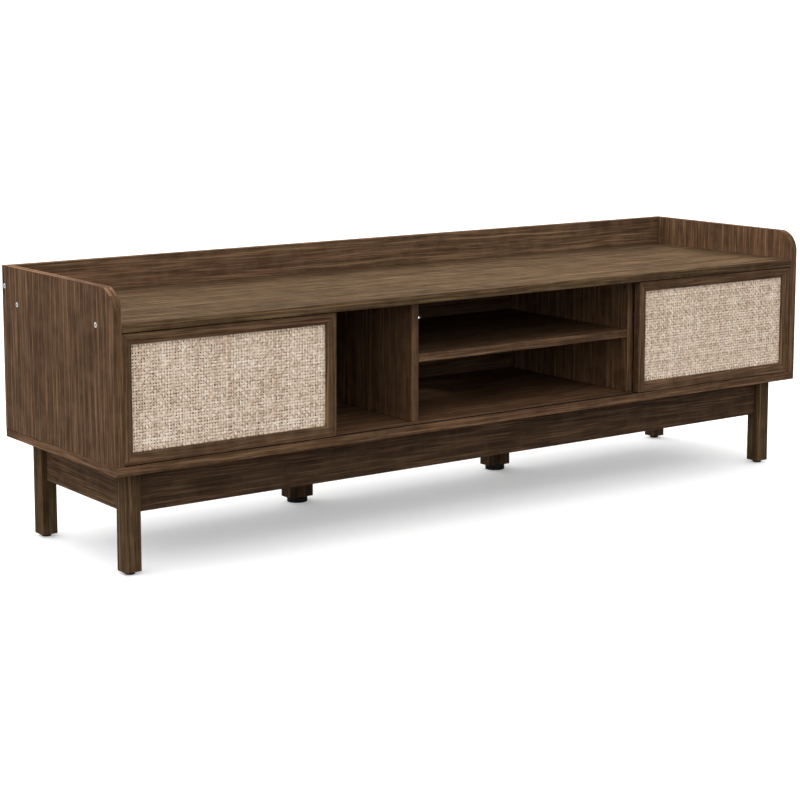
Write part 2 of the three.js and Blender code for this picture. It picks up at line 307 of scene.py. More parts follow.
BENDS = (
    Streaks(0.9, 3.5, 1.5, detail=1.0, weight=0.028),
    Streaks(6.0, 14.0, 17.0, detail=1.0, weight=0.005),
    Streaks(28.0, 40.0, 23.0, detail=1.0, weight=0.0012),
)
BROAD = Streaks(1.2, 18.0, 3.1, 0.34, 0.66, weight=0.063)
WIDE = Streaks(2.2, 100.0, 5.3, 0.34, 0.66, weight=0.1575)
NARROW = Streaks(4.8, 190.0, 7.7, 0.37, 0.63, weight=0.4305)
HAIRS = Streaks(12.0, 400.0, 9.9, 0.37, 0.63, weight=0.399)
GLINTS = Streaks(1.4, 200.0, 61.0, 0.62, 0.74, 1.0, 0.5)
VEINS = Streaks(1.8, 260.0, 15.2, 0.36, 0.28, 1.0, -0.2)
PORES = Streaks(30.0, 1400.0, 12.4, 0.38, 0.28, weight=0.5)
WARMTH = Streaks(1.2, 34.0, 44.0, 0.35, 0.65)
RIPPLE = Streaks(3.0, 9.0, 21.0, weight=0.9)
ARCH_PATCHES = Streaks(0.9, 3.0, 30.0, 0.48, 0.56, 1.0)


def walnut_figure() -> bpy.types.NodeTree:
    """Builds the walnut pattern: bands, long streaks, arched figure and short open pores.

    Returns:
        The group. Its vector is metres along the grain in X and across it in Y.
    """
    base_tone, arch_tone_share = -0.12, 0.4
    leaf_offset, leaf_half_width, arch_spread = 0.06, 0.17, (0.12, 0.05)
    arch_bow, arch_sharpness, arch_length, rings_per_step = 190.0, 1.6, 2.6, 3.4
    ring_drift, ring_depth, ring_range = 0.6, 50.0, (0.36, 0.62)
    hair_height, pore_depth = 0.3, 0.8
    cool, warm = (1.0, 1.0, 0.93, 1.0), (1.05, 0.98, 0.96, 1.0)
    takes = {
        "Grain": None,
        "Dark": screen_colour(60, 42, 30),
        "Middle": screen_colour(98, 74, 56),
        "Light": screen_colour(130, 102, 80),
        "Arches": 0.5,
    }
    gives = {"Color": "Color", "Pore": "Float", "Height": "Float"}
    group, wire = new_group("walnut_figure", takes, gives)
    source = wire.add("NodeGroupInput").outputs
    along, across, _ = wire.split(source["Grain"])

    def drawn_out(layer: Streaks, sideways: Socket) -> Socket:
        """Reads one layer's noise at a place across the grain."""
        spot = wire.vector(
            wire.times(along, layer.along), wire.times(sideways, layer.across), layer.depth
        )
        return wire.noise(spot, 1.0, layer.detail)

    def streaks(layer: Streaks, sideways: Socket) -> Socket:
        """Reads one layer and stretches it over its own range."""
        return wire.span(drawn_out(layer, sideways), layer.low, layer.high)

    bent = across
    for layer in BENDS:
        bent = wire.add_share(wire.minus(drawn_out(layer, across), 0.5), layer.weight, bent)

    hairs = streaks(HAIRS, bent)
    tone = wire.add_share(hairs, HAIRS.weight, base_tone)
    for layer in (BROAD, WIDE, NARROW, GLINTS):
        tone = wire.add_share(streaks(layer, bent), layer.weight, tone)

    centre = wire.math("PINGPONG", wire.math("ADD", bent, leaf_offset), leaf_half_width)
    bow = wire.times(wire.math("POWER", centre, arch_sharpness), arch_bow)
    rings = wire.add_share(drawn_out(RIPPLE, across), RIPPLE.weight,
                           wire.add_share(along, arch_length, bow))
    ring_spot = wire.vector(
        wire.times(rings, rings_per_step), wire.times(along, ring_drift), ring_depth
    )
    arches = wire.span(wire.noise(ring_spot, 1.0, 2.0), *ring_range)
    in_middle = wire.times(wire.span(centre, *arch_spread), streaks(ARCH_PATCHES, across))
    arch_tone = wire.add_share(arches, arch_tone_share, wire.times(tone, 1 - arch_tone_share))
    change = wire.times(wire.minus(arch_tone, tone), wire.times(in_middle, source["Arches"]))
    veins = wire.add_share(streaks(VEINS, bent), VEINS.weight, change)
    tone = wire.math("ADD", tone, veins, clamp=True)

    colour = wire.three_tones(tone, source["Dark"], source["Middle"], source["Light"])
    colour = wire.mix(1.0, colour, wire.mix(streaks(WARMTH, bent), cool, warm), "MULTIPLY")
    pore = streaks(PORES, bent)
    colour = wire.mix(wire.times(pore, PORES.weight), colour, source["Dark"])
    height = wire.minus(wire.times(hairs, hair_height), wire.times(pore, pore_depth))
    wire.add("NodeGroupOutput", {"Color": colour, "Pore": pore, "Height": height})
    return group


def handling_marks() -> bpy.types.NodeTree:
    """Builds the soft smudges and fine moulding grit that fittings carry.

    Returns:
        The group, which puts out a smudge mask and a grit height from object coordinates.
    """
    takes = {"Place": None, "Smudge Size": 60.0, "Grit Size": 1500.0}
    group, wire = new_group("handling_marks", takes, {"Smudge": "Float", "Grit": "Float"})
    source = wire.add("NodeGroupInput").outputs

    def grain_of(size: str, detail: float) -> Socket:
        """Reads noise of one of the group's sizes."""
        sockets = {"Vector": source["Place"], "Scale": source[size], "Detail": detail}
        return wire.add("ShaderNodeTexNoise", sockets).outputs["Fac"]

    smudge = wire.span(grain_of("Smudge Size", 4.0), 0.35, 0.65)
    wire.add("NodeGroupOutput", {"Smudge": smudge, "Grit": grain_of("Grit Size", 2.0)})
    return group


@dataclass
class Effects:
    """The node groups that the finishes share."""

    walnut: bpy.types.NodeTree = field(default_factory=walnut_figure)
    marks: bpy.types.NodeTree = field(default_factory=handling_marks)


def new_material(name: str) -> tuple[bpy.types.Material, Wiring, bpy.types.Node]:
    """Makes a material with one Principled shader.

    Args:
        name: The material's name.

    Returns:
        The material, its wiring and the Principled node.
    """
    material = bpy.data.materials.new(name)
    material.use_nodes = True
    wire = Wiring(material.node_tree)
    material.node_tree.nodes.clear()
    shader = wire.add("ShaderNodeBsdfPrincipled")
    wire.add("ShaderNodeOutputMaterial", {"Surface": shader.outputs[0]})
    return material, wire, shader


def place_group(wire: Wiring, group: bpy.types.NodeTree, sockets: dict) -> bpy.types.Node:
    """Places a shared group in a material with its own values.

    Args:
        wire: The material's wiring.
        group: The shared group.
        sockets: Values or output sockets for its inputs, by name.

    Returns:
        The group's node.
    """
    node = wire.add("ShaderNodeGroup", node_tree=group)
    for name, value in sockets.items():
        wire.feed(node.inputs[name], value)
    return node


def relief(wire: Wiring, height: object, depth: float, strength: float) -> Socket:
    """Turns a height into a normal through a Bump node."""
    sockets = {"Height": height, "Distance": depth, "Strength": strength}
    return wire.add("ShaderNodeBump", sockets).outputs[0]


# ------------------------------------------------------------------ finishes
@dataclass(frozen=True)
class WalnutLaminate:
    """Printed walnut laminate with a satin seal."""

    name: str
    dark: Colour
    middle: Colour
    light: Colour
    arches: float
    gloss_roughness: float = 0.54
    sheen: float = 0.08
    least_wear: float = 0.03
    most_wear: float = 0.2
    pore_dulling: float = 0.22
    rub_dulling: float = 0.08
    relief_depth: float = 0.12 * MM

    def material(self, effects: Effects) -> bpy.types.Material:
        """Builds the material.

        Args:
            effects: The shared node groups.

        Returns:
            The material, which reads the grain map and the eased-edge mark of a piece.
        """
        material, wire, shader = new_material(self.name)
        grain = wire.add("ShaderNodeUVMap", uv_map=GRAIN_MAP).outputs[0]
        sockets = {"Grain": grain, "Dark": self.dark, "Middle": self.middle, "Light": self.light}
        figure = place_group(wire, effects.walnut, {**sockets, "Arches": self.arches}).outputs
        edge = wire.add("ShaderNodeAttribute", attribute_name=EDGE_MARK).outputs["Fac"]
        rub = wire.noise(wire.object_place(), 35.0, 4.0)
        worn = wire.times(edge, wire.span(rub, 0.38, 0.66, self.least_wear, self.most_wear))
        colour = wire.mix(worn, figure["Color"], self.light)
        wire.feed(shader.inputs["Base Color"], colour)
        satin = wire.add_share(figure["Pore"], self.pore_dulling, self.gloss_roughness)
        wire.feed(shader.inputs["Roughness"], wire.add_share(rub, self.rub_dulling, satin))
        shader.inputs["Specular IOR Level"].default_value = self.sheen
        normal = relief(wire, figure["Height"], self.relief_depth, 0.55)
        wire.feed(shader.inputs["Normal"], normal)
        return material


@dataclass(frozen=True)
class WovenCane:
    """Dry natural cane strands, each of its own tone, with fine fibres along them."""

    name: str
    shade: Colour
    middle: Colour
    pale: Colour
    knot_share: float = 0.55
    fibres_per_metre: tuple[float, float] = (90.0, 2600.0)
    knots_per_metre: tuple[float, float] = (160.0, 40.0)

    def material(self) -> bpy.types.Material:
        """Builds the material.

        Returns:
            The material, which reads the strand map and the tone marked on each strand.
        """
        material, wire, shader = new_material(self.name)
        strand = wire.add("ShaderNodeUVMap", uv_map=GRAIN_MAP).outputs[0]
        tone = wire.add("ShaderNodeAttribute", attribute_name=STRAND_MARK).outputs["Fac"]
        along, across, _ = wire.split(strand)
        long, close = self.fibres_per_metre
        fibre_spot = wire.vector(wire.times(along, long), wire.times(across, close))
        long, close = self.knots_per_metre
        knot_spot = wire.vector(wire.times(along, long), wire.times(across, close), 9.0)
        fibres = wire.noise(fibre_spot, 1.0, 3.0)
        knots = wire.span(wire.noise(knot_spot, 1.0, 3.0), 0.3, 0.7)
        blotch = wire.noise(wire.object_place(), 14.0, 3.0)
        level = wire.add_share(knots, self.knot_share, wire.times(tone, 1 - self.knot_share))
        level = wire.add_share(wire.minus(fibres, 0.5), 0.5, level)
        level = wire.add_share(wire.minus(blotch, 0.5), 0.25, level, clamp=True)
        colour = wire.three_tones(level, self.shade, self.middle, self.pale)
        wire.feed(shader.inputs["Base Color"], colour)
        wire.feed(shader.inputs["Roughness"], wire.span(fibres, 0.3, 0.7, 0.5, 0.72))
        shader.inputs["Specular IOR Level"].default_value = 0.3
        wire.feed(shader.inputs["Normal"], relief(wire, fibres, 0.15 * MM, 0.6))
        return material


@dataclass(frozen=True)
class Backing:
    """Plain tan cloth-faced board behind the open weave, its dark tones partly painted shade for
    the gaps between the strands.
    """

    name: str
    shade: Colour
    tint: Colour
    threads_per_metre: float = 1400.0
    slubs_per_metre: float = 60.0

    def material(self) -> bpy.types.Material:
        """Builds the material from fine crossed threads.

        Returns:
            The material.
        """
        material, wire, shader = new_material(self.name)
        sideways, _, upwards = wire.split(wire.object_place())
        close, long = self.threads_per_metre, self.slubs_per_metre
        upright_spot = wire.vector(wire.times(sideways, close), wire.times(upwards, long))
        level_spot = wire.vector(wire.times(sideways, long), wire.times(upwards, close), 5.0)
        upright = wire.noise(upright_spot, 1.0, 2.0)
        threads = wire.math("MAXIMUM", upright, wire.noise(level_spot, 1.0, 2.0))
        share = wire.span(threads, 0.4, 0.7)
        wire.feed(shader.inputs["Base Color"], wire.mix(share, self.shade, self.tint))
        wire.feed(shader.inputs["Roughness"], wire.span(threads, 0.3, 0.7, 0.7, 0.9))
        wire.feed(shader.inputs["Normal"], relief(wire, threads, 0.1 * MM, 0.5))
        return material


@dataclass(frozen=True)
class Fitting:
    """A moulded plastic or plated steel fitting."""

    name: str
    colour: Colour
    smudged: Colour
    roughness: float
    metallic: float = 0.0
    grit_depth: float = 0.03 * MM
    smudge_dulling: float = 0.14

    def material(self, effects: Effects) -> bpy.types.Material:
        """Builds the material.

        Args:
            effects: The shared node groups.

        Returns:
            The material.
        """
        material, wire, shader = new_material(self.name)
        marks = place_group(wire, effects.marks, {"Place": wire.object_place()}).outputs
        colour = wire.mix(marks["Smudge"], self.colour, self.smudged)
        wire.feed(shader.inputs["Base Color"], colour)
        duller = wire.add_share(marks["Smudge"], self.smudge_dulling, self.roughness)
        wire.feed(shader.inputs["Roughness"], duller)
        shader.inputs["Metallic"].default_value = self.metallic
        wire.feed(shader.inputs["Normal"], relief(wire, marks["Grit"], self.grit_depth, 0.5))
        return material


@dataclass
class Finishes:
    """Every finish on the stand, built once."""

    effects: Effects = field(default_factory=Effects)
    upright: bpy.types.Material = field(init=False)
    board: bpy.types.Material = field(init=False)
    gallery: bpy.types.Material = field(init=False)
    post: bpy.types.Material = field(init=False)
    base: bpy.types.Material = field(init=False)
    back: bpy.types.Material = field(init=False)
    cane: bpy.types.Material = field(init=False)
    backing: bpy.types.Material = field(init=False)
    plastic: bpy.types.Material = field(init=False)
    steel: bpy.types.Material = field(init=False)
    cam_metal: bpy.types.Material = field(init=False)

    def laminate(
        self, name: str, dark: Tone, middle: Tone, light: Tone, arches: float, **rest: float
    ) -> bpy.types.Material:
        """Builds one walnut laminate from its three tones.

        Args:
            name: The material's name.
            dark: The tone of its darkest streaks.
            middle: Its middle tone.
            light: The tone of its lightest streaks.
            arches: How much arched figure it shows.
            **rest: The laminate's other values.

        Returns:
            The material.
        """
        tones = [screen_colour(*tone) for tone in (dark, middle, light)]
        return WalnutLaminate(name, *tones, arches, **rest).material(self.effects)

    def __post_init__(self) -> None:
        """Builds the materials."""
        laminate, effects = self.laminate, self.effects
        # upright, board, gallery, post and base are one walnut print in lighter and darker copies,
        # each set to how bright its boards come out under the lamps, so the differences between
        # them are painted light and shade.
        self.upright = laminate("walnut_upright", (61, 43, 29), (88, 64, 45), (135, 105, 79), 0.2)
        self.board = laminate("walnut_board", (50, 37, 25), (74, 56, 38), (116, 94, 67), 0.4)
        self.gallery = laminate("walnut_gallery_painted_light", (63, 46, 33), (92, 69, 50), (139, 111, 86), 0.4)
        self.post = laminate("walnut_post", (57, 41, 28), (82, 61, 43), (126, 99, 74), 0.2)
        self.base = laminate("walnut_base", (46, 33, 23), (68, 50, 36), (106, 83, 62), 0.4)
        self.back = laminate(
            "walnut_back", (44, 30, 20), (70, 51, 37), (94, 72, 53), 0.4, gloss_roughness=0.6
        )
        self.cane = WovenCane(
            "woven_cane",
            shade=screen_colour(150, 122, 97),
            middle=screen_colour(224, 200, 176),
            pale=screen_colour(255, 246, 233),
        ).material()
        # The backing's dark tones are painted shade seen through the gaps in the weave.
        self.backing = Backing(
            "cane_backing", shade=screen_colour(52, 36, 25), tint=screen_colour(80, 59, 42)
        ).material()
        self.plastic = Fitting(
            "black_plastic", screen_colour(20, 19, 18), screen_colour(34, 32, 31), roughness=0.42
        ).material(effects)
        self.steel = Fitting(
            "zinced_steel", screen_colour(252, 250, 246), screen_colour(238, 236, 231),
            roughness=0.4, metallic=0.25, grit_depth=0.01 * MM,
        ).material(effects)
        self.cam_metal = Fitting(
            "cam_metal", screen_colour(132, 125, 116), screen_colour(108, 101, 92),
            roughness=0.45, metallic=0.7, grit_depth=0.02 * MM,
        ).material(effects)


# ------------------------------------------------------------------ mesh helpers
def welded_copy(node: str) -> Mesh:
    """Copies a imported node's mesh and joins its loose triangles into whole flat faces.

    Args:
        node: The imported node's name.

    Returns:
        The copy.
    """
    bm = bmesh.new()
    bm.from_mesh(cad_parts[node].data)
    bmesh.ops.remove_doubles(bm, verts=bm.verts[:], dist=WELD_DISTANCE)
    bmesh.ops.dissolve_limit(bm, angle_limit=FLAT_ANGLE, verts=bm.verts[:], edges=bm.edges[:])
    return bm


def ease_edges(
    bm: Mesh, radius: float, wanted: Callable[[Edge], bool], segments: int = 3
) -> None:
    """Rounds the chosen outward edges, marks the new faces as eased and merges slivers away.

    Args:
        bm: The mesh.
        radius: How far the rounding reaches from the edge.
        wanted: Says which of the sharp outward edges are rounded.
        segments: Flats across the rounding.
    """
    layers = bm.loops.layers.float_color
    mark = layers.get(EDGE_MARK) or layers.new(EDGE_MARK)
    outward = [edge for edge in bm.edges if edge.is_manifold and edge.is_convex]
    sharp = [edge for edge in outward if edge.calc_face_angle() > CORNER_ANGLE and wanted(edge)]
    made = bmesh.ops.bevel(
        bm,
        geom=sharp,
        offset=radius,
        offset_type="OFFSET",
        segments=segments,
        profile=0.5,
        affect="EDGES",
        clamp_overlap=True,
        loop_slide=True,
        material=-1,
    )
    for face in made["faces"]:
        for loop in face.loops:
            loop[mark] = (1.0, 1.0, 1.0, 1.0)
    bmesh.ops.remove_doubles(bm, verts=bm.verts[:], dist=SLIVER_WIDTH)


def longer_than(length: float) -> Callable[[Edge], bool]:
    """Makes a test that passes edges longer than a length."""
    return lambda edge: edge.calc_length() > length


def map_grain(bm: Mesh, grain: Grain, seed: int) -> None:
    """Lays the grain map over a board: metres along the grain, and metres across it.

    On a face square to the grain, the pattern runs along the face's longer side instead.

    Args:
        bm: The mesh.
        grain: The way the grain runs.
        seed: Picks which part of the printed pattern the board is cut from.
    """
    pattern_size, level_share, end_share, side_step = 40, 0.2, 0.5, 0.73
    layer = bm.loops.layers.uv.new(GRAIN_MAP)
    draw = random.Random(seed)
    start = Vector((draw.uniform(0, pattern_size), draw.uniform(0, pattern_size)))
    run = Vector(grain.value)
    bm.normal_update()
    reach = []
    for axis in range(3):
        places = [vert.co[axis] for vert in bm.verts]
        reach.append((max(places) - min(places)) * (1 - abs(run[axis])))
    widest = reach.index(max(reach))
    band = Vector([float(axis == widest) for axis in range(3)])
    for face in bm.faces:
        parts = face.normal
        facing = Vector([math.copysign(1.0, p) if abs(p) > level_share else 0.0 for p in parts])
        facing.normalize()
        along = run - facing * run.dot(facing)
        if along.length < end_share:
            along = band - facing * band.dot(facing)
        along.normalize()
        across = facing.cross(along)
        lead = max(range(3), key=lambda axis: abs(parts[axis]))
        side = lead * 2 + (parts[lead] > 0)
        for loop in face.loops:
            place = loop.vert.co
            spot = Vector((place.dot(along), place.dot(across) + side_step * side))
            loop[layer].uv = start + spot


def make_piece(
    bm: Mesh,
    name: str,
    body: Body,
    slot: Slot,
    materials: Sequence[bpy.types.Material],
    stands_for: Iterable[str],
    sharp_angle: float = 38.0,
) -> bpy.types.Object:
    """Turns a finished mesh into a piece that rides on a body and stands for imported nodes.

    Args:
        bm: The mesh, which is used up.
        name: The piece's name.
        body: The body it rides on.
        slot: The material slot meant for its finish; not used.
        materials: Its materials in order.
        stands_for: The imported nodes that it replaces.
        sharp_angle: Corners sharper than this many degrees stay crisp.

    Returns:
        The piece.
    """
    mesh = bpy.data.meshes.new(name)
    bm.to_mesh(mesh)
    bm.free()
    mesh.shade_smooth()
    mesh.set_sharp_from_angle(angle=math.radians(sharp_angle))
    for material in materials:
        mesh.materials.append(material)
    piece = bpy.data.objects.new(name, mesh)
    bpy.context.scene.collection.objects.link(piece)
    even = piece.modifiers.new("even_shading", "WEIGHTED_NORMAL")
    even.keep_sharp = True
    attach(piece, body.value)
    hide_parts(*stands_for)
    LOG.info("%s: %d faces on %s", name, len(mesh.polygons), body.value)
    return piece


def dress_node(node: str, material: bpy.types.Material) -> None:
    """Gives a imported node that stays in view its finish.

    Args:
        node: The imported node's name.
        material: Its material.
    """
    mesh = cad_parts[node].data
    mesh.materials.clear()
    mesh.materials.append(material)
    LOG.info("%s: packed shape in %s", node, material.name)


@dataclass
class Board:
    """One laminated board with eased edges."""

    node: str
    grain: Grain
    slot: Slot
    material: bpy.types.Material
    body: Body = Body.CARCASS
    ease: float = 0.7 * MM
    shortest_edge: float = 3.5 * MM
    seed: int = 0
    suffix: str = "board"

    def shape(self) -> Mesh:
        """Builds the board's mesh.

        Returns:
            The mesh, with its edges eased.
        """
        bm = welded_copy(self.node)
        ease_edges(bm, self.ease, longer_than(self.shortest_edge))
        return bm

    def build(self) -> bpy.types.Object:
        """Builds and dresses the board.

        Returns:
            The piece.
        """
        bm = self.shape()
        map_grain(bm, self.grain, self.seed)
        name = f"{self.node}_{self.suffix}"
        return make_piece(bm, name, self.body, self.slot, [self.material], [self.node])


@dataclass
class SidePanel(Board):
    """An end of the cabinet, with a softer rounding along its front and over the gallery corner."""

    front_ease: float = 2.2 * MM
    seam_ease: float = 1.3 * MM

    def shape(self) -> Mesh:
        """Builds the panel's mesh with its front edges rounded more than the rest.

        Returns:
            The mesh.
        """
        bm = welded_copy(self.node)
        low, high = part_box(self.node)
        rear_limit = high.y - 2 * MM
        floor_limit = low.z + 1 * MM

        def along_front(edge: Edge) -> bool:
            """Whether an edge runs up the front, round the corner or along the top."""
            ends = [vert.co for vert in edge.verts]
            on_face = all(min(p.x - low.x, high.x - p.x) < 0.01 * MM for p in ends)
            across = abs(ends[0].x - ends[1].x) > 1 * MM
            at_rear = all(p.y > rear_limit for p in ends)
            long_enough = edge.calc_length() > self.shortest_edge
            return on_face and long_enough and not (across or at_rear or at_floor(edge))

        def at_floor(edge: Edge) -> bool:
            """Whether an edge lies round the panel's foot."""
            return all(vert.co.z < floor_limit for vert in edge.verts)

        ease_edges(bm, self.front_ease, along_front, 4)
        ease_edges(bm, self.seam_ease, at_floor)
        return bm


@dataclass
class TurnedFitting:
    """A small round fitting, turned from a profile of distances from its axis and along it."""

    node: str
    profile: Sequence[tuple[float, float]]
    axis: Vector
    start: Vector
    slot: Slot
    material: bpy.types.Material
    body: Body = Body.CARCASS
    segments: int = 32
    suffix: str = "turned"
    drive: Drive | None = None
    drive_reach: float = 0.0
    drive_depth: float = 0.0
    drive_arm: float = 0.0

    def sink_drive(self, bm: Mesh) -> None:
        """Closes the open face of the head with a recess for the driver.

        Args:
            bm: The turned mesh, open inside the first ring of its profile.
        """
        rim = [edge for edge in bm.edges if edge.is_boundary]
        reach, half = self.drive_reach, self.drive_arm / 2
        level = Matrix.Translation((0.0, 0.0, self.profile[0][1]))
        ring = bmesh.ops.create_circle(
            bm, cap_ends=False, segments=self.drive.value, radius=reach, matrix=level
        )["verts"]
        if self.drive is Drive.CROSS:
            quarter = [Vector((reach, -half)), Vector((reach, half)), Vector((half, half))]
            for number, vert in enumerate(ring):
                corner = quarter[number % 3].copy()
                corner.rotate(Matrix.Rotation(math.radians(90 * (number // 3)), 2))
                vert.co.xy = corner
        mouth = list({edge for vert in ring for edge in vert.link_edges})
        bmesh.ops.bridge_loops(bm, edges=rim + mouth)
        walls = bmesh.ops.extrude_edge_only(bm, edges=mouth)["geom"]
        foot = [item for item in walls if isinstance(item, bmesh.types.BMVert)]
        foot_edges = [item for item in walls if isinstance(item, Edge)]
        bmesh.ops.translate(bm, verts=foot, vec=(0.0, 0.0, self.drive_depth))
        bmesh.ops.edgeloop_fill(bm, edges=foot_edges)

    def build(self) -> bpy.types.Object:
        """Turns the profile, sinks the drive recess and dresses the piece.

        Returns:
            The piece.
        """
        bm = bmesh.new()
        points = [bm.verts.new((radius, 0.0, height)) for radius, height in self.profile]
        edges = [bm.edges.new(pair) for pair in zip(points, points[1:])]
        bmesh.ops.spin(
            bm,
            geom=points + edges,
            cent=(0, 0, 0),
            axis=(0, 0, 1),
            angle=math.tau,
            steps=self.segments,
            use_merge=True,
        )
        bmesh.ops.remove_doubles(bm, verts=bm.verts[:], dist=WELD_DISTANCE)
        if self.drive:
            self.sink_drive(bm)
        bmesh.ops.recalc_face_normals(bm, faces=bm.faces[:])
        turn = Vector((0, 0, 1)).rotation_difference(self.axis).to_matrix().to_4x4()
        bmesh.ops.transform(bm, matrix=Matrix.Translation(self.start) @ turn, verts=bm.verts[:])
        name = f"{self.node}_{self.suffix}"
        return make_piece(bm, name, self.body, self.slot, [self.material], [self.node], 30.0)


# ------------------------------------------------------------------ the cabinet
@dataclass
class Cabinet:
    """The carcass: side panels, top, bottom, gallery, back, dividers, shelf and their fittings."""

    finishes: Finishes
    screw_head_radius: float = 4.5 * MM
    screw_head_depth: float = 2.5 * MM
    screw_shank_radius: float = 3.0 * MM
    screw_length: float = 40.0 * MM
    plain_shank: float = 4.0 * MM
    thread_turns: int = 11
    thread_pitch: float = 2.6 * MM
    socket_radius: float = 2.1 * MM
    socket_depth: float = 1.6 * MM
    cam_radius: float = 6.0 * MM
    cam_depth: float = 10.0 * MM
    cross_reach: float = 2.7 * MM
    cross_arm: float = 1.2 * MM
    cross_depth: float = 2.0 * MM

    def boards(self) -> None:
        """Builds the laminated boards."""
        finishes = self.finishes
        upright = (Grain.ALONG_Z, Slot.UPRIGHT, finishes.upright)
        SidePanel("side_panel_left", *upright, seed=3).build()
        SidePanel("side_panel_right", *upright, seed=8).build()
        Board("divider_left", *upright, seed=12).build()
        Board("divider_right", *upright, seed=15).build()
        # The gallery rail takes the lightened gallery copy, painted light on its front, and the
        # middle shelf takes the lighter post copy, painted light on its front edge.
        for node, slot, finish, seed in (
            ("top_panel", Slot.BOARD, finishes.board, 21),
            ("bottom_panel", Slot.BOARD, finishes.upright, 24),
            ("gallery_rail", Slot.BOARD, finishes.gallery, 27),
            ("middle_shelf", Slot.BOARD, finishes.post, 31),
            ("back_panel", Slot.BACK, finishes.back, 36),
        ):
            Board(node, Grain.ALONG_X, slot, finish, seed=seed).build()

    def face_centre(self, node: str, inward: float) -> Vector:
        """Finds the middle of the face that a fitting is turned from.

        Args:
            node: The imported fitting.
            inward: 1 where the fitting goes in towards +X, or -1 towards -X.

        Returns:
            The place.
        """
        low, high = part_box(node)
        face = low.x if inward > 0 else high.x
        return Vector((face, (low.y + high.y) / 2, (low.z + high.z) / 2))

    def screws(self) -> None:
        """Builds the six screws that hold the top and the gallery, with socketed heads."""
        head, shank, rim = self.screw_head_radius, self.screw_shank_radius, 0.35 * MM
        core, tip = shank * 0.78, shank * 0.4
        profile = [
            (self.socket_radius + 0.3 * MM, 0.0),
            (head - rim, 0.0),
            (head - 0.1 * MM, 0.1 * MM),
            (head, rim),
            (head, self.screw_head_depth),
            (shank, self.screw_head_depth),
        ]
        pitch = self.thread_pitch
        for turn in range(self.thread_turns):
            here = self.screw_head_depth + self.plain_shank + turn * pitch
            profile += [(core, here), (shank, here + pitch * 0.45), (core, here + pitch * 0.9)]
        profile += [(tip, self.screw_length), (0.0, self.screw_length)]
        for place in ("top_front", "top_rear", "gallery"):
            for side, inward in (("left", 1.0), ("right", -1.0)):
                node = f"{place}_screw_{side}"
                start, axis = self.face_centre(node, inward), Vector((inward, 0, 0))
                TurnedFitting(
                    node, profile, axis, start, Slot.STEEL, self.finishes.steel,
                    suffix="socket_head", drive=Drive.HEXAGON,
                    drive_reach=self.socket_radius, drive_depth=self.socket_depth,
                ).build()

    def cams(self) -> None:
        """Builds the cam locks at the top of the dividers, with cross slots."""
        radius, depth, sunk, rim = self.cam_radius, self.cam_depth, 0.5 * MM, 0.3 * MM
        profile = [
            (self.cross_reach + 0.7 * MM, sunk),
            (radius - 1.3 * MM, sunk),
            (radius - 1.0 * MM, 0.1 * MM),
            (radius - rim, 0.0),
            (radius, rim),
            (radius, depth - rim),
            (radius - rim, depth),
            (0.0, depth),
        ]
        for side, outward in (("left", 1.0), ("right", -1.0)):
            for row in ("front", "rear"):
                node = f"cam_{side}_{row}"
                start, axis = self.face_centre(node, -outward), Vector((-outward, 0, 0))
                TurnedFitting(
                    node, profile, axis, start, Slot.STEEL, self.finishes.cam_metal,
                    suffix="cam_lock", drive=Drive.CROSS, drive_reach=self.cross_reach,
                    drive_depth=self.cross_depth, drive_arm=self.cross_arm,
                ).build()

    def kept_fittings(self) -> None:
        """Dresses the tracks and shelf pins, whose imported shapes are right."""
        for node in ("lower_track", "upper_track"):
            dress_node(node, self.finishes.plastic)
        for side in ("left", "right"):
            for row in ("front", "rear"):
                dress_node(f"shelf_pin_{side}_{row}", self.finishes.steel)

    def build(self) -> None:
        """Builds the whole carcass."""
        self.boards()
        self.screws()
        self.cams()
        self.kept_fittings()


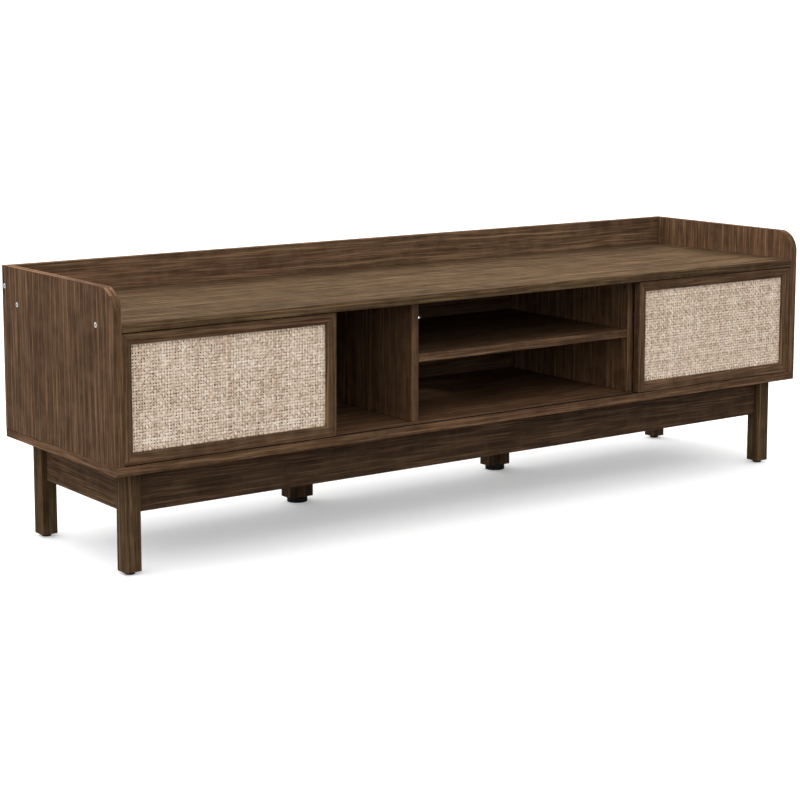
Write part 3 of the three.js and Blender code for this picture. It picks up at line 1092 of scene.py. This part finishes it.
# ------------------------------------------------------------------ the base
@dataclass
class Base:
    """The legs, rails, centre supports and glides."""

    finishes: Finishes
    post_ease: float = 0.9 * MM
    rail_ease: float = 0.8 * MM
    glide_edge: float = 1.1 * MM
    leg_dimple: float = 2.4 * MM
    centre_dimple: float = 5.0 * MM
    dimple_depth: float = 0.8 * MM

    def post(self, node: str, finish: bpy.types.Material, seed: int) -> None:
        """Builds one upright of the base."""
        Board(node, Grain.ALONG_Z, Slot.BASE, finish, seed=seed, ease=self.post_ease,
              suffix="post").build()

    def build(self) -> None:
        """Builds the whole base, each piece cut from the next part of the pattern."""
        finishes, seeds = self.finishes, itertools.count(53, 3)
        for corner in ("front_left", "front_right", "rear_left", "rear_right"):
            self.post(f"leg_{corner}", finishes.board, next(seeds))
            self.glide(f"glide_{corner}", self.leg_dimple)
        # The front and rear rails take the darker base copy, painted shade for where they sit back
        # under the bottom panel. The side rails take the lighter post copy, painted light on their
        # outward faces.
        for name, grain, finish in (
            ("front_rail", Grain.ALONG_X, finishes.base),
            ("rear_rail", Grain.ALONG_X, finishes.base),
            ("side_rail_left", Grain.ALONG_Y, finishes.post),
            ("side_rail_right", Grain.ALONG_Y, finishes.post),
        ):
            Board(name, grain, Slot.BASE, finish, seed=next(seeds), ease=self.rail_ease).build()
        for side in ("left", "right"):
            self.post(f"centre_support_{side}", finishes.base, next(seeds))
            self.glide(f"centre_glide_{side}", self.centre_dimple)

    def glide(self, node: str, dimple: float) -> None:
        """Builds one round glide with a softened rim and a dimple underneath.

        Args:
            node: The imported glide.
            dimple: Radius of the dimple over the fixing nail.
        """
        low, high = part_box(node)
        radius, height, edge = (high.x - low.x) / 2, high.z - low.z, self.glide_edge
        profile = [
            (0.0, self.dimple_depth),
            (dimple, self.dimple_depth),
            (dimple + 0.5 * MM, 0.0),
            (radius - edge, 0.0),
            (radius - edge * 0.4, edge * 0.15),
            (radius - edge * 0.1, edge * 0.5),
            (radius, edge),
            (radius, height * 0.6),
            (radius - 0.4 * MM, height * 0.68),
            (radius - 0.4 * MM, height * 0.78),
            (radius, height * 0.86),
            (radius - 0.3 * MM, height),
            (0.0, height),
        ]
        start = Vector(((low.x + high.x) / 2, (low.y + high.y) / 2, low.z))
        TurnedFitting(
            node, profile, Vector((0, 0, 1)), start, Slot.PLASTIC, self.finishes.plastic,
            segments=40, suffix="foot",
        ).build()


# ------------------------------------------------------------------ the doors
@dataclass
class WovenPanel:
    """Plain-woven cane on its backing board, seen through the door frame."""

    node: str
    body: Body
    finishes: Finishes
    seed: int
    pitch: float = 5.1 * MM
    strand_width: float = 3.65 * MM
    strand_thickness: float = 0.6 * MM
    rise: float = 0.5 * MM
    least_width: float = 0.86
    most_width: float = 1.1
    tone_spread: float = 0.14
    most_shift: float = 0.3 * MM
    most_sway: float = 0.7 * MM
    sways_per_metre: float = 70.0
    slub: float = 0.5
    slubs_per_metre: float = 120.0
    strand_sides: int = 6
    inset: float = 0.2 * MM
    clearance: float = 0.05 * MM
    backing_thickness: float = 2.0 * MM
    backing_ease: float = 0.3 * MM
    spool: bpy.types.Mesh = field(default_factory=lambda: bpy.data.meshes.new("cane_spool"))

    def strand(
        self,
        weave: Mesh,
        length: float,
        crossings: int,
        number: int,
        place: Callable[[float, float, float], Vector],
        draw: random.Random,
    ) -> None:
        """Adds one flattened strand that passes over and under its neighbours.

        Args:
            weave: The mesh that the strand joins.
            length: The strand's length.
            crossings: How many strands it crosses.
            number: Its number in its row, which says where it starts over or under.
            place: Turns a spot along the strand, sideways and towards the room into a place.
            draw: The source of its tone and width.
        """
        tone = min(1.0, max(0.0, draw.gauss(0.5, self.tone_spread)))
        width = self.strand_width * draw.uniform(self.least_width, self.most_width)
        shift = draw.uniform(-self.most_shift, self.most_shift)
        start = draw.uniform(0, 50)
        bm = bmesh.new()
        bmesh.ops.create_cone(
            bm, cap_ends=True, cap_tris=False, segments=self.strand_sides,
            radius1=1, radius2=1, depth=1,
            matrix=Matrix.Rotation(math.pi / self.strand_sides, 4, "Z"),
        )
        long_edges = [e for e in bm.edges if abs(e.verts[0].co.z - e.verts[1].co.z) > 0.5]
        bmesh.ops.subdivide_edges(bm, edges=long_edges, cuts=2 * crossings - 1)
        mark = bm.loops.layers.float_color.new(STRAND_MARK)
        strand_map = bm.loops.layers.uv.new(GRAIN_MAP)
        angle_of = {vert: math.atan2(vert.co.y, vert.co.x) for vert in bm.verts}
        along_of = {vert: (vert.co.z + 0.5) * length for vert in bm.verts}
        for face in bm.faces:
            for loop in face.loops:
                loop[mark] = (tone, tone, tone, 1.0)
                across = math.cos(angle_of[loop.vert]) * width / 2
                loop[strand_map].uv = (along_of[loop.vert] + start, across + start)
        for vert in bm.verts:
            along, angle = along_of[vert], angle_of[vert]
            slub_spot = Vector((along * self.slubs_per_metre, start, number * 1.7))
            sway_spot = Vector((along * self.sways_per_metre, number * 2.3, start))
            swell = 1 + self.slub * noise.noise(slub_spot)
            sway = self.most_sway * noise.noise(sway_spot)
            over = math.cos(math.pi * (along / self.pitch - 0.5 + number))
            sideways = math.cos(angle) * width * swell / 2 + shift + sway
            outwards = math.sin(angle) * self.strand_thickness / 2 + over * self.rise
            vert.co = place(along, sideways, outwards)
        bm.to_mesh(self.spool)
        bm.free()
        weave.from_mesh(self.spool)

    def weave(self, low: Vector, high: Vector) -> None:
        """Weaves the strands, first the upright ones and then the level ones.

        Args:
            low: The panel's lowest corner.
            high: The panel's highest corner.
        """
        draw = random.Random(self.seed)
        bm = bmesh.new()
        middle_y = low.y + self.strand_thickness / 2 + self.rise + self.clearance
        edge_x, edge_z = low.x + self.inset, low.z + self.inset
        length_x, length_z = high.x - self.inset - edge_x, high.z - self.inset - edge_z
        columns = int((high.x - low.x) / self.pitch)
        rows = int((high.z - low.z) / self.pitch)
        start_x = (low.x + high.x - columns * self.pitch) / 2
        start_z = (low.z + high.z - rows * self.pitch) / 2
        for column in range(columns):
            x = start_x + (column + 0.5) * self.pitch
            self.strand(bm, length_z, rows, column,
                        lambda a, s, o, x=x: Vector((x + s, middle_y - o, edge_z + a)), draw)
        for row in range(rows):
            z = start_z + (row + 0.5) * self.pitch
            self.strand(bm, length_x, columns, row + 1,
                        lambda a, s, o, z=z: Vector((edge_x + a, middle_y - o, z + s)), draw)
        bmesh.ops.recalc_face_normals(bm, faces=bm.faces[:])
        make_piece(bm, f"{self.node}_weave", self.body, Slot.CANE,
                   [self.finishes.cane], [self.node], 60.0)

    def back(self, low: Vector, high: Vector) -> None:
        """Lays the backing board behind the weave.

        Args:
            low: The panel's lowest corner.
            high: The panel's highest corner.
        """
        board = bmesh.new()
        size = Vector((high.x - low.x, self.backing_thickness, high.z - low.z))
        centre = (low + high) / 2
        centre.y = high.y - self.backing_thickness / 2
        matrix = Matrix.Translation(centre) @ Matrix.Diagonal(size).to_4x4()
        bmesh.ops.create_cube(board, size=1.0, matrix=matrix)
        ease_edges(board, self.backing_ease, longer_than(0), 2)
        make_piece(board, f"{self.node}_backing", self.body, Slot.CANE,
                   [self.finishes.backing], [self.node])

    def build(self) -> None:
        """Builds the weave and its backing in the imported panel's space."""
        low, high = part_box(self.node)
        self.weave(low, high)
        self.back(low, high)


@dataclass
class SlidingDoor:
    """One cane-faced door: mitred mouldings, woven panel, runners and guides."""

    side: str
    body: Body
    finishes: Finishes
    seed: int
    moulding_ease: float = 0.4 * MM
    shortest_edge: float = 30 * MM

    def build(self) -> None:
        """Builds the door."""
        members = (
            ("bottom_rail", Grain.ALONG_X, Slot.BOARD),
            ("top_rail", Grain.ALONG_X, Slot.BOARD),
            ("left_stile", Grain.ALONG_Z, Slot.UPRIGHT),
            ("right_stile", Grain.ALONG_Z, Slot.UPRIGHT),
        )
        for number, (name, grain, slot) in enumerate(members):
            Board(
                f"{self.side}_door_{name}", grain, slot, self.finishes.post, self.body,
                ease=self.moulding_ease, shortest_edge=self.shortest_edge,
                seed=self.seed + number * 5, suffix="moulding",
            ).build()
        WovenPanel(f"{self.side}_door_cane_panel", self.body, self.finishes, self.seed).build()
        for kind in ("runner", "guide"):
            for end in ("left", "right"):
                dress_node(f"{self.side}_door_{kind}_{end}", self.finishes.plastic)


# ------------------------------------------------------------------ the studio
@dataclass(frozen=True)
class Lamp:
    """One far, soft lamp: the way to it from the stand, its strength and its width in degrees."""

    name: str
    towards: tuple[float, float, float]
    strength: float
    softness: float

    def hang(self) -> bpy.types.Object:
        """Hangs the lamp.

        Returns:
            Its object.
        """
        light = bpy.data.lights.new(self.name, "SUN")
        light.energy = self.strength
        light.angle = math.radians(self.softness)
        holder = bpy.data.objects.new(self.name, light)
        holder.rotation_euler = Vector(self.towards).to_track_quat("Z", "Y").to_euler()
        bpy.context.scene.collection.objects.link(holder)
        return holder


@dataclass
class Studio:
    """A plain pale floor, soft light from above and behind, and the camera."""

    floor_half_size: float = 30.0
    floor_tones: tuple[float, float] = (0.86, 0.9)
    floor_bounce: float = 0.2
    floor_lift: float = 0.3
    overhead: Lamp = Lamp("lamp_above", (-0.25, 0.75, 1.25), 0.6, 34.0)
    key: Lamp = Lamp("lamp_behind_right", (0.6, 1.1, 0.66), 5.4, 24.0)
    camera_place: tuple[float, float, float] = (-2.1873, -2.9260, 0.8676)
    camera_yaw: float = 0.6268
    camera_pitch: float = 0.1354
    lens: float = 89.7
    film_width: float = 36.0
    rise_of_frame: float = -0.125
    horizon_glow: float = 1.3
    overhead_glow: float = 0.4
    left_glow: float = 0.25
    overhead_sheen: float = 1.2
    horizon_sheen: float = 0.06
    backdrop_glow: float = 1.05

    def floor(self) -> bpy.types.Object:
        """Lays the floor.

        Returns:
            Its object.
        """
        bm = bmesh.new()
        bmesh.ops.create_grid(bm, x_segments=4, y_segments=4, size=self.floor_half_size)
        mesh = bpy.data.meshes.new("studio_floor")
        bm.to_mesh(mesh)
        bm.free()
        material, wire, shader = new_material("studio_floor")
        darker, paler = ((tone, tone, tone, 1.0) for tone in self.floor_tones)
        colour = wire.mix(wire.noise(wire.object_place(), 1.5, 2.0), darker, paler)
        wire.feed(shader.inputs["Base Color"], colour)
        shader.inputs["Roughness"].default_value = 0.8
        shader.inputs["Specular IOR Level"].default_value = 0.1
        shader.inputs["Emission Color"].default_value = (1.0, 1.0, 1.0, 1.0)
        shader.inputs["Emission Strength"].default_value = self.floor_lift
        grey = (self.floor_bounce, self.floor_bounce, self.floor_bounce, 1.0)
        dull = wire.add("ShaderNodeBsdfDiffuse", {"Color": grey})
        seen = wire.add("ShaderNodeLightPath").outputs["Is Camera Ray"]
        sockets = {0: seen, 1: dull.outputs[0], 2: shader.outputs[0]}
        both = wire.add("ShaderNodeMixShader", sockets)
        output = next(node for node in wire.tree.nodes if node.type == "OUTPUT_MATERIAL")
        wire.feed(output.inputs["Surface"], both.outputs[0])
        mesh.materials.append(material)
        floor = bpy.data.objects.new("studio_floor", mesh)
        bpy.context.scene.collection.objects.link(floor)
        return floor

    def lamps(self, floor: bpy.types.Object) -> None:
        """Hangs the lamps, and keeps the strong one off the floor so that its shadow stays soft.

        Args:
            floor: The floor.
        """
        self.overhead.hang()
        key = self.key.hang()
        off_floor = bpy.data.collections.new("lamp_behind_right_keeps_off")
        off_floor.objects.link(floor)
        off_floor.collection_objects[0].light_linking.link_state = "EXCLUDE"
        key.light_linking.receiver_collection = off_floor
        key.visible_glossy = False

    def sky(self) -> None:
        """Sets the sky: a soft glow on the stand, a dim sheen in it, and a white backdrop."""
        world = bpy.data.worlds.new("studio_sky")
        bpy.context.scene.world = world
        world.use_nodes = True
        wire = Wiring(world.node_tree)
        world.node_tree.nodes.clear()
        heading = wire.add("ShaderNodeTexCoord").outputs["Generated"]
        rightwards, _, upwards = wire.split(heading)
        height = wire.math("POWER", wire.math("MAXIMUM", upwards, 0.0), 2.0)
        glow = wire.add_share(height, self.overhead_glow, self.horizon_glow)
        glow = wire.times(glow, wire.add_share(rightwards, -self.left_glow, 1.0))
        sheen = wire.add_share(height, self.overhead_sheen, self.horizon_sheen)
        path = wire.add("ShaderNodeLightPath").outputs
        lit = wire.mix(
            path["Is Glossy Ray"], wire.vector(glow, glow, glow), wire.vector(sheen, sheen, sheen)
        )
        fill = wire.add("ShaderNodeBackground", {"Color": lit, "Strength": 1.0})
        white = {"Color": (1.0, 1.0, 1.0, 1.0), "Strength": self.backdrop_glow}
        backdrop = wire.add("ShaderNodeBackground", white)
        sockets = {0: path["Is Camera Ray"], 1: fill.outputs[0], 2: backdrop.outputs[0]}
        both = wire.add("ShaderNodeMixShader", sockets)
        wire.add("ShaderNodeOutputWorld", {"Surface": both.outputs[0]})
        bpy.context.scene.view_settings.view_transform = "Standard"

    def camera(self) -> None:
        """Sets up the camera."""
        data = bpy.data.cameras.new("studio_camera")
        data.lens = self.lens
        data.sensor_width = self.film_width
        data.shift_y = self.rise_of_frame
        data.clip_start, data.clip_end = 0.05, 200.0
        camera = bpy.data.objects.new("studio_camera", data)
        camera.location = self.camera_place
        level, drop = math.cos(self.camera_pitch), math.sin(self.camera_pitch)
        yaw = self.camera_yaw
        look = Vector((math.sin(yaw) * level, math.cos(yaw) * level, -drop))
        camera.rotation_euler = look.to_track_quat("-Z", "Y").to_euler()
        bpy.context.scene.collection.objects.link(camera)
        bpy.context.scene.camera = camera

    def build(self) -> None:
        """Sets up the whole studio."""
        self.camera()
        self.lamps(self.floor())
        self.sky()


def main() -> None:
    """Builds the studio, then the stand from the cabinet outwards."""
    logging.basicConfig(level=logging.INFO, format="%(name)s: %(message)s")
    Studio().build()
    finishes = Finishes()
    Cabinet(finishes).build()
    Base(finishes).build()
    SlidingDoor("left", Body.LEFT_DOOR, finishes, seed=70).build()
    SlidingDoor("right", Body.RIGHT_DOOR, finishes, seed=110).build()


if __name__ == "__main__":
    main()
